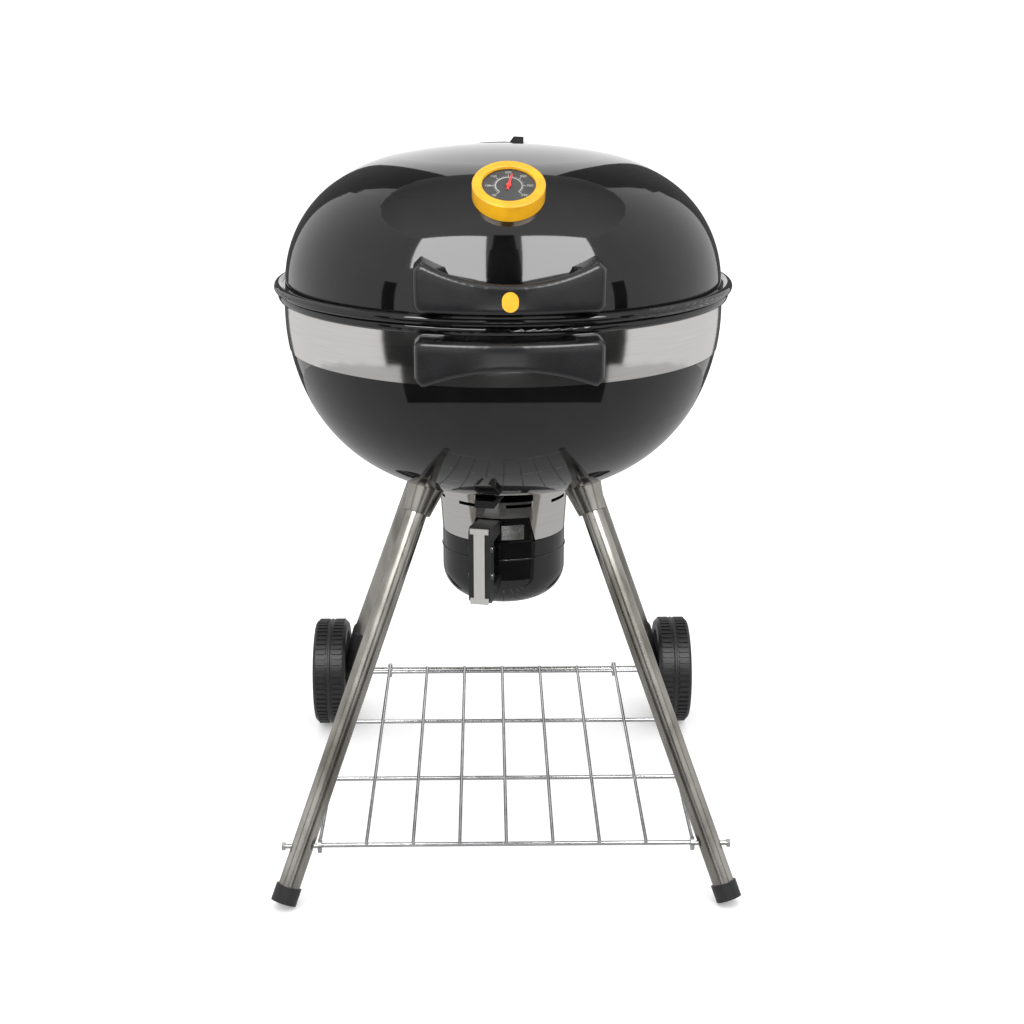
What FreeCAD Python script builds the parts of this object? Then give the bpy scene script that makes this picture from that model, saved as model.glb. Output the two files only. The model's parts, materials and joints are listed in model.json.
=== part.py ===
import FreeCAD, Part
import math
import os
import Sketcher
from FreeCAD import Placement, Rotation, Vector

# Kettle charcoal grill on two legs and two wheels. Millimetres, +Z up, floor at z = 0.
# The kettle's axis is vertical; the front, with the handles and thermometer, faces -Y.
# Everything is drawn about the kettle's axis and then shifted along Y, so that the
# origin is on the floor under the middle of the whole grill.

doc = FreeCAD.newDocument("kettle_grill")

# ---------------------------------------------------------------- driving dimensions
SIZES = {
    "sheet_gauge": 1.2,
    "gap": 0.3,
    # lid: straight wall, shoulder arc, crown arc, then a spherical crown
    "lid_radius": 286.75, "lid_rim": 756.8, "lid_wall": 0.1,
    "lid_shoulder": 156.9, "lid_shoulder_angle": 54.14,
    "lid_turn": 207.2, "lid_turn_angle": 78.84,
    "lid_bead_radius": 295.5, "lid_bead_height": 755.65, "bead": 6.0,
    # bowl: the same kind of outline, downwards
    "bowl_radius": 287.5, "bowl_rim": 745.5, "bowl_wall": 23.4,
    "bowl_shoulder": 264.6, "bowl_shoulder_angle": 25.73,
    "bowl_turn": 209.5, "bowl_turn_angle": 67.72,
    "bowl_bead_radius": 290.3, "bowl_bead_height": 744.5,
    "band_gauge": 0.7, "band_bottom": 675.5, "band_top": 737.5,
    # lid and bowl handles
    "handle_reach": 328.0, "handle_depth": 16.0, "handle_half_width": 110.5,
    "lid_handle_bottom": 768.0, "lid_handle_middle": 803.0, "lid_handle_top": 826.0,
    "bowl_handle_bottom": 680.0, "bowl_handle_middle": 702.0, "bowl_handle_top": 736.0,
    "handle_turn": 0.8, "emblem_width": 19.0, "emblem_length": 23.0, "emblem_gauge": 1.3,
    # thermometer
    "gauge_angle": 57.6, "gauge_turn": 1.15, "gauge_radius": 43.3, "gauge_base_radius": 37.2,
    "gauge_floor": 12.0, "gauge_face": 17.0, "dial_radius": 31.5,
    "probe_radius": 3.0, "probe_length": 72.0,
    # lid vent
    "vent_distance": 120.0, "vent_radius": 42.0, "vent_hole": 9.0, "vent_gauge": 1.2,
    # bowl damper
    "vent_inner": 24.0, "vent_outer": 60.0, "vent_sector": 34.0, "blade_gauge": 1.0,
    "spindle_radius": 4.0, "lever_angle": -14.0, "lever_width": 16.0,
    # ash collar and bucket
    "collar_radius": 88.5, "collar_foot": 84.4, "collar_top": 482.5, "collar_bottom": 418.0,
    "collar_gauge": 0.8, "bucket_radius": 82.0, "bucket_outer": 84.5, "bucket_top": 455.0,
    "bucket_bottom": 320.5, "bucket_corner": 43.0, "bucket_handle_angle": -13.0,
    "grip_reach": 148.0, "grip_width": 29.0, "grip_top": 457.0, "grip_bottom": 352.0,
    # grates
    "grate_radius": 267.0, "grate_height": 717.3, "grate_rod": 2.2, "grate_ring": 3.0,
    "grate_pitch": 19.0, "coal_radius": 212.0, "coal_height": 560.0, "coal_rod": 3.0,
    "coal_ring": 3.5, "coal_pitch": 26.0,
    # legs
    "leg_radius": 14.0, "leg_bore": 12.6, "foot_x": 288.6, "foot_y": 308.0,
    "leg_top_x": 103.8, "leg_top_y": 92.3, "leg_top_z": 499.0,
    "axle_x": 247.0, "axle_y": 271.7, "axle_z": 84.0, "rear_top_x": 106.0,
    "rear_tube_end": 150.0, "bracket_top": 168.0, "sleeve_start": 467.0, "sleeve_small": 18.2, "sleeve_slope": 0.181,
    "foot_cap_radius": 16.6, "foot_cap_length": 22.0, "foot_cap_start": 7.0, "leg_start": 10.5,
    # axle and wheels
    "axle_radius": 5.0, "axle_half": 297.0, "wheel_radius": 84.0, "wheel_inside": 247.0,
    "wheel_width": 50.0, "wheel_bore": 5.06, "wheel_recess": 62.0, "wheel_dish": 24.0,
    # bottom shelf
    "shelf_front": 275.0, "shelf_back": 255.0, "shelf_front_z": 72.0, "shelf_back_z": 88.0,
    "shelf_pitch": 60.0, "shelf_rod": 2.3, "shelf_frame": 3.0, "shelf_half": 240.0,
    "bolt_radius": 3.0,
}

sheet = doc.addObject("Spreadsheet::Sheet", "Sizes")
for row, (name, amount) in enumerate(SIZES.items(), start=1):
    sheet.set("A%d" % row, name)
    sheet.set("B%d" % row, str(amount))
    sheet.setAlias("B%d" % row, name)
doc.recompute()


def size(name):
    return float(sheet.get(name))


FRONT_REACH = size("handle_reach") + size("emblem_gauge") + size("gap")
REAR_REACH = size("axle_y") + size("wheel_radius")
SHIFT = Vector(0, (FRONT_REACH - REAR_REACH) / 2, 0)
parts = []


# ---------------------------------------------------------------- small helpers
def part(obj, label, turn=0.0):
    """Name a finished sub-part and move it into the grill's frame."""
    obj.Label = label
    obj.Placement = Placement(SHIFT, Rotation(Vector(0, 0, 1), turn)).multiply(obj.Placement)
    parts.append(obj)
    return obj


def make(kind, name, **properties):
    """Add an object; a value given as text is an expression on the sheet."""
    obj = doc.addObject(kind, name)
    for key, amount in properties.items():
        if isinstance(amount, str):
            obj.setExpression(key, amount)
        else:
            setattr(obj, key, amount)
    return obj


def sized(*names):
    return " + ".join("Sizes." + name for name in names)


def cylinder(name, radius, length, place, direction=(0, 0, 1)):
    rod = make("Part::Cylinder", name, Radius=radius)
    if isinstance(length, str):
        rod.setExpression("Height", length)
    else:
        rod.Height = length
    rod.Placement = Placement(Vector(*place), Rotation(Vector(0, 0, 1), Vector(*direction)))
    return rod


def box(name, low, high):
    corner = Vector(*low)
    block = make("Part::Box", name)
    block.Length = high[0] - low[0]
    block.Width = high[1] - low[1]
    block.Height = high[2] - low[2]
    block.Placement = Placement(corner, Rotation())
    return block


def cut(name, base, *tools):
    for step, tool in enumerate(tools):
        base = make("Part::Cut", "%s_cut%d" % (name, step), Base=base, Tool=tool)
    return base


def fuse(name, *shapes):
    return make("Part::MultiFuse", name + "_fuse", Shapes=list(shapes))


def group(name, *shapes):
    return make("Part::Compound", name + "_group", Links=list(shapes))


def turned(name, source, angle):
    """A copy of a solid turned about the kettle's axis."""
    copy = make("Part::Compound", name, Links=[source])
    copy.Placement = Placement(Vector(), Rotation(Vector(0, 0, 1), angle))
    return copy


def mirrored(name, source, normal=(1, 0, 0)):
    return make("Part::Mirroring", name, Source=source, Base=Vector(), Normal=Vector(*normal))


def body(name):
    return doc.addObject("PartDesign::Body", name)


def sketch(owner, name, plane, edges, limits=()):
    """A closed outline on one of the body's own planes; limits bind sizes to the sheet."""
    drawing = owner.newObject("Sketcher::SketchObject", name)
    origin_plane = [f for f in owner.Origin.OriginFeatures if f.Role == plane][0]
    drawing.AttachmentSupport = [(origin_plane, "")]
    drawing.MapMode = "FlatFace"
    drawing.addGeometry(edges, False)
    ends = []
    for index, edge in enumerate(drawing.Geometry):
        if hasattr(edge, "StartPoint"):
            ends.append((index, 1, edge.StartPoint))
            ends.append((index, 2, edge.EndPoint))
    for number, (index, end, point) in enumerate(ends):
        for other, other_end, other_point in ends[number + 1:]:
            if other != index and point.distanceToPoint(other_point) < 1e-5:
                drawing.addConstraint(Sketcher.Constraint("Coincident", index, end, other, other_end))
    for limit, index, expression in limits:
        current = drawing.Geometry[index].Radius if limit == "Radius" else 1.0
        number = drawing.addConstraint(Sketcher.Constraint(limit, index, current))
        drawing.setExpression("Constraints[%d]" % number, expression)
    return drawing


def arc(start, middle, end):
    """Arc through three points, always stored anticlockwise."""
    if (middle - start).cross(end - middle).z < 0:
        start, end = end, start
    return Part.Arc(start, middle, end)


def outline(points):
    """Straight closed outline through the given (x, y) points."""
    corners = [Vector(x, y, 0) for x, y in points]
    return [Part.LineSegment(a, b) for a, b in zip(corners, corners[1:] + corners[:1])]


def revolve(owner, profile, angle=360.0, groove=False, axis="V_Axis"):
    kind = "PartDesign::Groove" if groove else "PartDesign::Revolution"
    feature = owner.newObject(kind, profile.Name + "_turned")
    feature.Profile = profile
    feature.ReferenceAxis = (profile, [axis])
    feature.Angle = angle
    if angle < 360.0:
        feature.Midplane = True
    doc.recompute()
    return feature


def pad(owner, profile, length, midplane=False, pocket=False):
    kind = "PartDesign::Pocket" if pocket else "PartDesign::Pad"
    feature = owner.newObject(kind, profile.Name + "_solid")
    feature.Profile = profile
    if isinstance(length, str):
        feature.setExpression("Length", length)
    else:
        feature.Length = length
    feature.Midplane = midplane
    doc.recompute()
    return feature


def turned_body(name, edges, limits=()):
    """A full turn about the vertical axis."""
    owner = body(name)
    revolve(owner, sketch(owner, name + "_outline", "YZ_Plane", edges, limits))
    return owner


# ---------------------------------------------------------------- kettle outlines
def dome(kind):
    """Centres, radii and angle limits of the three tangent arcs of the lid or bowl."""
    way = 1 if kind == "lid" else -1
    first, second = size(kind + "_shoulder"), size(kind + "_turn")
    angle_1 = math.radians(size(kind + "_shoulder_angle"))
    angle_2 = math.radians(size(kind + "_turn_angle"))
    centre_1 = Vector(size(kind + "_radius") - first, size(kind + "_rim") + way * size(kind + "_wall"), 0)
    step = first - second
    centre_2 = centre_1 + Vector(step * math.cos(angle_1), way * step * math.sin(angle_1), 0)
    third = second + centre_2.x / math.cos(angle_2)
    step = second - third
    centre_3 = centre_2 + Vector(step * math.cos(angle_2), way * step * math.sin(angle_2), 0)
    return way, [(centre_1, first, 0.0, angle_1), (centre_2, second, angle_1, angle_2),
                 (centre_3, third, angle_2, math.pi / 2)]


def dome_point(kind, angle, offset=0.0):
    """(radius, height) on the dome where its normal stands at this angle above level."""
    way, arcs = dome(kind)
    for centre, radius, start, end in arcs:
        if angle <= end + 1e-9:
            reach = radius + offset
            return centre.x + reach * math.cos(angle), centre.y + way * reach * math.sin(angle)


def dome_edges(kind, offset=0.0, middle=0.0):
    """Outline from the rim to the axis, or to a small radius round it."""
    way, arcs = dome(kind)
    rim = size(kind + "_radius") + offset
    edges = [Part.LineSegment(Vector(rim, size(kind + "_rim"), 0), Vector(rim, arcs[0][0].y, 0))]
    for centre, radius, start, end in arcs:
        reach = radius + offset
        if end > 1.57:
            end = math.acos(middle / reach)
        stops = [centre + Vector(reach * math.cos(a), way * reach * math.sin(a), 0)
                 for a in (start, (start + end) / 2, end)]
        edges.append(arc(*stops))
    return edges, stops[2]


def dome_shell(name, kind):
    """One sheet-steel dome, open at its rim."""
    gauge = size("sheet_gauge")
    outer, outer_end = dome_edges(kind)
    inner, inner_end = dome_edges(kind, -gauge)
    rim = size(kind + "_radius")
    height = size(kind + "_rim")
    closing = [Part.LineSegment(outer_end, inner_end),
               Part.LineSegment(Vector(rim - gauge, height, 0), Vector(rim, height, 0))]
    limits = [("Radius", 1, "Sizes.%s_shoulder" % kind), ("Radius", 2, "Sizes.%s_turn" % kind),
              ("Radius", 5, "Sizes.%s_shoulder - Sizes.sheet_gauge" % kind),
              ("Radius", 6, "Sizes.%s_turn - Sizes.sheet_gauge" % kind)]
    return turned_body(name, outer + inner + closing, limits)


def dome_envelope(name, kind, offset):
    """Solid that fills a dome and stands off its skin; it trims what sits on the skin."""
    edges, last = dome_edges(kind, offset, 0.5)
    height = size(kind + "_rim")
    centre = Vector(last.x, height, 0)
    edges += [Part.LineSegment(last, centre),
              Part.LineSegment(centre, Vector(size(kind + "_radius") + offset, height, 0))]
    return turned_body(name, edges)


def bead(owner, name, radius, height):
    circle = Part.Circle(Vector(radius, height, 0), Vector(0, 0, 1), size("bead"))
    revolve(owner, sketch(owner, name, "YZ_Plane", [circle], [("Radius", 0, "Sizes.bead")]))


def crown_centre(kind):
    return dome(kind)[1][2][0].y


def crown_radius(kind):
    return dome(kind)[1][2][1]


# ---------------------------------------------------------------- lid
def vent_frame(offset=0.0):
    """On the lid's crown behind the apex; local +Z leaves the lid."""
    tilt = math.asin(size("vent_distance") / crown_radius("lid"))
    centre = Vector(0, 0, crown_centre("lid"))
    spin = Rotation(Vector(1, 0, 0), -math.degrees(tilt))
    return Placement(centre + spin.multVec(Vector(0, 0, offset)), spin)


def vent_holes(name, count, distance, reach):
    holes = []
    for number in range(count):
        angle = 2 * math.pi * number / count
        spot = Vector(distance * math.cos(angle), distance * math.sin(angle), 0)
        drill = cylinder("%s_%d" % (name, number), sized("vent_hole"), 60.0, (0, 0, 0))
        drill.Placement = vent_frame(reach - 30.0).multiply(Placement(spot, Rotation()))
        holes.append(drill)
    return holes


def gauge_frame(offset=0.0):
    """On the lid's front; local +Z leaves the lid along its normal."""
    angle = math.radians(size("gauge_angle"))
    reach, height = dome_point("lid", angle, offset)
    return Placement(Vector(0, -reach, height), Rotation(Vector(1, 0, 0), 90 - size("gauge_angle")))


def add_lid():
    gauge = size("sheet_gauge")
    owner = dome_shell("lid_dome", "lid")
    radius = size("lid_radius")
    rim = size("lid_rim")
    bead_radius, bead_height = size("lid_bead_radius"), size("lid_bead_height")
    flange = outline([(radius - gauge, rim + 1), (radius, rim + 1), (bead_radius, bead_height + 2.5),
                      (bead_radius, bead_height - 0.5), (radius - gauge, rim - 3)])
    revolve(owner, sketch(owner, "lid_flange", "YZ_Plane", flange))
    bead(owner, "lid_bead", bead_radius, bead_height)
    probe_hole = cylinder("probe_hole", "Sizes.probe_radius + 2 * Sizes.gap", 40.0, (0, 0, 0))
    swing = Placement(Vector(), Rotation(Vector(0, 0, 1), size("gauge_turn")))
    probe_hole.Placement = swing.multiply(gauge_frame(-20.0))
    rivet_hole = cylinder("vent_rivet_hole", "4.05 mm", 60.0, (0, 0, 0))
    rivet_hole.Placement = vent_frame(crown_radius("lid") - 30)
    tools = [probe_hole, rivet_hole] + vent_holes("lid_vent_hole", 4, 23.0, crown_radius("lid"))
    part(cut("lid_shell", owner, *tools), "lid_shell")


def add_lid_vent():
    """Turning disc over the vent holes: a cap of a sphere centred like the lid's crown."""
    reach = crown_radius("lid") + size("gap")
    thick = size("vent_gauge")
    limit = math.asin(size("vent_radius") / reach)
    middle = limit / 2

    def at(radius, angle):
        return Vector(radius * math.sin(angle), radius * math.cos(angle), 0)
    low, high = reach, reach + thick
    edges = [arc(at(low, 0), at(low, middle), at(low, limit)),
             Part.LineSegment(at(low, limit), at(high, limit)),
             arc(at(high, 0), at(high, middle), at(high, limit)),
             Part.LineSegment(at(high, 0), at(low, 0))]
    disc = turned_body("vent_disc", edges)
    disc.Placement = vent_frame()
    tab = body("vent_tab")
    edges = outline([(-10, reach + 0.2), (10, reach + 0.2), (10, reach + 7.5), (-4, reach + 7.5)])
    pad(tab, sketch(tab, "vent_tab_outline", "XZ_Plane", edges), 3.0)
    tab.Placement = vent_frame().multiply(Placement(Vector(), Rotation(Vector(0, 0, 1), 30))).multiply(
        Placement(Vector(0, 5 - size("vent_radius"), 0), Rotation()))
    hole = cylinder("vent_pivot_hole", "4.05 mm", 60.0, (0, 0, 0))
    hole.Placement = vent_frame(reach - 30)
    whole = fuse("vent_disc_tab", disc, tab)
    part(cut("lid_vent_damper", whole, hole, *vent_holes("damper_hole", 4, 23.0, reach)), "lid_vent_damper")
    shank = cylinder("vent_rivet_shank", "4 mm", 7.0, (0, 0, 0))
    shank.Placement = vent_frame(crown_radius("lid") - 3.5)
    head = cylinder("vent_rivet_head", "7 mm", 2.0, (0, 0, 0))
    head.Placement = vent_frame(reach + thick + 0.3)
    tail = cylinder("vent_rivet_tail", "7 mm", 1.5, (0, 0, 0))
    tail.Placement = vent_frame(crown_radius("lid") - size("sheet_gauge") - 1.9)
    part(fuse("lid_vent_rivet", shank, head, tail), "lid_vent_rivet")


def handle_blank(name, low, high, profile):
    """Curved bar concentric with the kettle, with a foot at each end, seen from the front."""
    ring = body(name + "_ring")
    reach = size("handle_reach")
    edges = outline([(-reach, low), (-reach, high), (-240, high), (-240, low)])
    revolve(ring, sketch(ring, name + "_section", "YZ_Plane", edges), 60.0)
    front = body(name + "_front")
    pad(front, sketch(front, name + "_face", "XZ_Plane", profile), 800.0, midplane=True)
    blank = make("Part::Common", name + "_blank", Base=ring, Tool=front)
    gap = body(name + "_gap")
    inside = reach - size("handle_depth")
    edges = outline([(-inside, low - 20), (-inside, high + 20), (-200, high + 20), (-200, low - 20)])
    revolve(gap, sketch(gap, name + "_finger_gap", "YZ_Plane", edges), 31.0)
    return blank, gap


def handle_outline(flat, middle, tip):
    """Level long edge at 'flat'; the other edge runs from tip to tip through 'middle'."""
    half = size("handle_half_width")
    way = 1 if tip > flat else -1
    corner = 9.0
    low_left, low_right = Vector(-half, flat + way * 6, 0), Vector(half, flat + way * 6, 0)
    edges = [Part.LineSegment(Vector(-half + 6, flat, 0), Vector(half - 6, flat, 0)),
             Part.LineSegment(Vector(half - 6, flat, 0), low_right),
             Part.LineSegment(low_right, Vector(half, tip - way * corner, 0)),
             Part.LineSegment(Vector(half, tip - way * corner, 0), Vector(half - corner, tip, 0)),
             arc(Vector(half - corner, tip, 0), Vector(0, middle, 0), Vector(-half + corner, tip, 0)),
             Part.LineSegment(Vector(-half + corner, tip, 0), Vector(-half, tip - way * corner, 0)),
             Part.LineSegment(Vector(-half, tip - way * corner, 0), low_left),
             Part.LineSegment(low_left, Vector(-half + 6, flat, 0))]
    return edges


def round_front(name, blank, radius):
    """Round the edges where the handle's front face meets its sides."""
    doc.recompute()
    reach = size("handle_reach")
    edges = []
    for number, edge in enumerate(blank.Shape.Edges, start=1):
        points = [edge.valueAt(edge.FirstParameter + step * (edge.LastParameter - edge.FirstParameter))
                  for step in (0.1, 0.5, 0.9)]
        if all(abs(math.hypot(p.x, p.y) - reach) < 0.01 for p in points):
            edges.append((number, radius, radius))
    return make("Part::Fillet", name + "_round", Base=blank, Edges=edges)


def add_handles(lid_skin, bowl_skin):
    flat, middle, tip = (size("lid_handle_" + n) for n in ("bottom", "middle", "top"))
    blank, gap = handle_blank("lid_handle", flat - 1, tip + 1, handle_outline(flat, middle, tip))
    rounded = round_front("lid_handle", blank, 4.0)
    part(cut("lid_handle", rounded, gap, lid_skin), "lid_handle", size("handle_turn"))
    flat, middle, tip = (size("bowl_handle_" + n) for n in ("top", "middle", "bottom"))
    blank, gap = handle_blank("bowl_handle", tip - 1, flat + 1, handle_outline(flat, middle, tip))
    rounded = round_front("bowl_handle", blank, 4.0)
    lip = size("bowl_bead_radius") + size("bead") + 0.5
    lip_room = cylinder("lip_room", "%f mm" % lip, 60.0, (0, 0, size("bowl_bead_height") - 7.0))
    part(cut("bowl_handle", rounded, gap, bowl_skin, lip_room), "bowl_handle", size("handle_turn"))


def add_emblem():
    """Plain oval badge on the front of the lid handle."""
    owner = body("emblem_body")
    radius = size("emblem_width") / 2
    offset = size("emblem_length") / 2 - radius
    middle = (size("lid_handle_bottom") + size("lid_handle_middle")) / 2 - 1.5
    top, low = middle + offset, middle - offset
    edges = [arc(Vector(radius, top, 0), Vector(0, top + radius, 0), Vector(-radius, top, 0)),
             Part.LineSegment(Vector(-radius, top, 0), Vector(-radius, low, 0)),
             arc(Vector(-radius, low, 0), Vector(0, low - radius, 0), Vector(radius, low, 0)),
             Part.LineSegment(Vector(radius, low, 0), Vector(radius, top, 0))]
    limits = [("Radius", 0, "Sizes.emblem_width / 2"), ("Radius", 2, "Sizes.emblem_width / 2")]
    pad(owner, sketch(owner, "emblem_outline", "XZ_Plane", edges, limits), sized("emblem_gauge"))
    owner.Placement = Placement(Vector(0, -size("handle_reach") - size("gap"), 0), Rotation())
    part(owner, "lid_emblem", size("handle_turn"))


def add_handle_screws():
    """Screws from inside the kettle into each handle's feet."""
    angle = math.degrees(math.asin(96.0 / 300.0))
    for label, height in (("lid_handle_screws", 785.0), ("bowl_handle_screws", 716.0)):
        pair = []
        wall = 281.0 if label.startswith("lid") else 285.9
        for side in (-1, 1):
            name = "%s_%d" % (label, side + 1)
            head = cylinder(name + "_head", "5.5 mm", 3.0, (0, -wall + 4.0, height), (0, 1, 0))
            pair.append(turned(name, head, side * angle))
        part(group(label, *pair), label, size("handle_turn"))


def add_thermometer(lid_skin):
    floor, face, turn = size("gauge_floor"), size("gauge_face"), size("gauge_turn")
    probe_room = "Sizes.probe_radius + Sizes.gap"
    base = cylinder("gauge_base_blank", sized("gauge_base_radius"), 14.0, (0, 0, 0))
    base.Placement = gauge_frame(-10.2)
    base_bore = cylinder("gauge_base_bore", probe_room, 40.0, (0, 0, 0))
    base_bore.Placement = gauge_frame(-20.0)
    part(cut("thermometer_base", base, base_bore, lid_skin), "thermometer_base", turn)

    case = body("gauge_case")
    outer, bore = size("gauge_radius"), size("probe_radius") + 0.3
    skirt, inner = size("gauge_base_radius") + 0.3, size("dial_radius") + 0.3
    edges = outline([(bore, 4), (skirt, 4), (skirt, -7), (outer, -7), (outer, face - 1.5), (outer - 1.5, face),
                     (inner + 0.8, face), (inner, face - 0.8), (inner, floor), (bore, floor)])
    revolve(case, sketch(case, "gauge_case_outline", "YZ_Plane", edges))
    case.Placement = gauge_frame()
    part(cut("thermometer_bezel", case, lid_skin), "thermometer_bezel", turn)

    dial = cylinder("gauge_dial", sized("dial_radius"), 1.0, (0, 0, 0))
    dial.Placement = gauge_frame(floor + 0.1)
    dial_hole = cylinder("gauge_dial_hole", probe_room, 20.0, (0, 0, 0))
    dial_hole.Placement = gauge_frame(floor - 5)
    part(cut("thermometer_dial", dial, dial_hole), "thermometer_dial", turn)

    glass = cylinder("gauge_glass", sized("dial_radius"), 1.2, (0, 0, 0))
    glass.Placement = gauge_frame(face - 1.6)
    part(glass, "thermometer_glass", turn)

    probe = cylinder("gauge_probe", sized("probe_radius"), sized("probe_length"), (0, 0, 0))
    probe.Placement = gauge_frame(floor + 1.2 - size("probe_length"))
    part(probe, "thermometer_probe", turn)

    needle = body("gauge_needle")
    edges = outline([(-1.6, -8), (1.6, -8), (0.9, 19), (0, 22), (-0.9, 19)])
    pad(needle, sketch(needle, "needle_outline", "XY_Plane", edges), 0.7)
    needle.Placement = gauge_frame(floor + 2.0).multiply(Placement(Vector(), Rotation(Vector(0, 0, 1), -12)))
    hub = cylinder("needle_hub", "3 mm", 1.4, (0, 0, 0))
    hub.Placement = gauge_frame(floor + 1.6)
    part(fuse("thermometer_needle", needle, hub), "thermometer_needle", turn)

    nut = make("Part::Prism", "gauge_nut", Polygon=6, Circumradius=8.0, Height=5.0)
    nut.Placement = gauge_frame(-size("sheet_gauge") - 6.2)
    nut_bore = cylinder("gauge_nut_bore", "3.05 mm", 20.0, (0, 0, 0))
    nut_bore.Placement = gauge_frame(-15.0)
    part(cut("thermometer_nut", nut, nut_bore), "thermometer_nut", turn)


# ---------------------------------------------------------------- bowl
def sector(name, inner, outer, low, high, centre_angle, width):
    """Block of a ring, seen from above; the angle runs from the front towards +X."""
    owner = body(name)
    edges = outline([(-inner, low), (-outer, low), (-outer, high), (-inner, high)])
    revolve(owner, sketch(owner, name + "_section", "YZ_Plane", edges), width)
    owner.Placement = Placement(Vector(), Rotation(Vector(0, 0, 1), centre_angle))
    return owner


def add_bowl():
    owner = dome_shell("bowl_dome", "bowl")
    bead(owner, "bowl_bead", size("bowl_bead_radius"), size("bowl_bead_height"))
    tools = [cylinder("spindle_hole", "Sizes.spindle_radius + 0.05", 60.0, (0, 0, 450))]
    for number in range(3):
        tools.append(sector("bowl_vent_%d" % number, size("vent_inner"), size("vent_outer"), 460, 500,
                            60 + 120 * number, size("vent_sector")))
    part(cut("bowl_shell", owner, *tools), "bowl_shell")


def add_band():
    """Thin bright band round the top of the bowl, a little clear of its skin."""
    low, top, gauge = size("band_bottom"), size("band_top"), size("band_gauge")
    _, arcs = dome("bowl")
    centre, radius, _, _ = arcs[0]

    def at(offset, height):
        reach = math.sqrt((radius + offset) ** 2 - (height - centre.y) ** 2)
        return Vector(centre.x + reach, height, 0)
    middle = (low + centre.y) / 2
    inner, outer = size("gap"), size("gap") + gauge
    edges = []
    for offset in (inner, outer):
        edges.append(arc(at(offset, low), at(offset, middle), at(offset, centre.y)))
        edges.append(Part.LineSegment(at(offset, centre.y), Vector(size("bowl_radius") + offset, top, 0)))
    edges.append(Part.LineSegment(at(inner, low), at(outer, low)))
    edges.append(Part.LineSegment(Vector(size("bowl_radius") + inner, top, 0),
                                  Vector(size("bowl_radius") + outer, top, 0)))
    part(turned_body("band", edges), "bowl_band")


def add_brackets():
    """Tabs welded inside the bowl that carry the two grates."""
    group_parts = []
    for number in range(4):
        angle = 45 + 90 * number
        group_parts.append(sector("grate_tab_%d" % number, 259, 285.7, 709.0, 714.0, angle, 6.0))
        group_parts.append(sector("coal_tab_%d" % number, 204, 219.6, 551.5, 556.2, angle, 7.0))
    part(group("grate_brackets", *group_parts), "grate_brackets")


def grate(label, radius, height, rod, ring, pitch, handles):
    """Round welded wire grate: a ring, parallel rods, and two rods across below them."""
    shapes = [Part.makeTorus(radius, ring, Vector(0, 0, height))]
    count = int((radius - 8) // pitch)
    for number in range(-count, count + 1):
        spot = number * pitch
        half = math.sqrt(radius ** 2 - spot ** 2)
        shapes.append(Part.makeCylinder(rod, 2 * half, Vector(spot, -half, height + 0.4), Vector(0, 1, 0)))
    for spot in (-radius / 2, radius / 2):
        half = math.sqrt(radius ** 2 - spot ** 2)
        drop = height + 0.4 - 1.7 * rod
        shapes.append(Part.makeCylinder(rod, 2 * half - 2, Vector(-half + 1, spot, drop), Vector(1, 0, 0)))
    if handles:
        for side in (-1, 1):
            low = Vector(side * (radius - 12), -40, height + 1)
            for end in (-40, 40):
                foot = Vector(side * (radius - 12), end, height + 0.5)
                shapes.append(Part.makeCylinder(rod, 18, foot, Vector(0, 0, 1)))
                shapes.append(Part.makeSphere(rod, foot + Vector(0, 0, 18)))
            shapes.append(Part.makeCylinder(rod, 80, low + Vector(0, 0, 17.5), Vector(0, 1, 0)))
            for end in (-40, 40):
                reach = Vector(side * (radius - 14), end, height + 0.4)
                shapes.append(Part.makeCylinder(rod, 14, reach, Vector(side, 0, 0)))
    whole = shapes[0].multiFuse(shapes[1:])
    feature = doc.addObject("Part::Feature", label + "_wires")
    feature.Shape = whole
    part(feature, label)


# ---------------------------------------------------------------- damper and ash collar
def add_damper():
    """Three blades inside the bowl on a spindle that the outside lever turns."""
    angle = size("lever_angle")
    centre = crown_centre("bowl")
    top = crown_radius("bowl") - size("sheet_gauge") - 0.4
    low = top - size("blade_gauge")

    def at(radius, reach):
        return Vector(reach, centre - math.sqrt(radius ** 2 - reach ** 2), 0)
    rim = size("vent_outer") + 4
    edges = [arc(at(top, 0.0), at(top, rim / 2), at(top, rim)),
             Part.LineSegment(at(top, rim), at(low, rim)),
             arc(at(low, 0.0), at(low, rim / 2), at(low, rim)),
             Part.LineSegment(at(low, 0.0), at(top, 0.0))]
    disc = turned_body("blade_disc", edges)
    tools = [cylinder("blade_bore", "Sizes.spindle_radius + 0.02", 60.0, (0, 0, 450))]
    for number in range(3):
        tools.append(sector("blade_gap_%d" % number, 20, 80, 450, 510, 120 * number + 60, 78.0))
    part(cut("damper_blades", disc, *tools), "damper_blades", 0)
    spindle = cylinder("spindle_rod", sized("spindle_radius"), 17.5, (0, 0, 463.5))
    knob = cylinder("spindle_head", "8 mm", 2.0, (0, 0, 478.9))
    part(fuse("damper_spindle", spindle, knob), "damper_spindle")
    arm = body("lever_arm")
    edges = outline([(12, 466), (-60, 466), (-78, 476.5), (-98, 476.5), (-98, 479.5), (-77, 479.5),
                     (-59, 469), (12, 469)])
    pad(arm, sketch(arm, "lever_outline", "YZ_Plane", edges), sized("lever_width"), midplane=True)
    arm_bore = cylinder("lever_bore", "Sizes.spindle_radius + 0.02", 60.0, (0, 0, 450))
    part(cut("damper_lever", arm, arm_bore), "damper_lever", angle)
    grip = box("lever_grip", (-13, -110, 473), (13, -90, 483))
    pocket = box("lever_grip_slot", (-8.1, -98.1, 476.4), (8.1, -80, 479.6))
    part(cut("damper_lever_grip", grip, pocket), "damper_lever_grip", angle)


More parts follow.
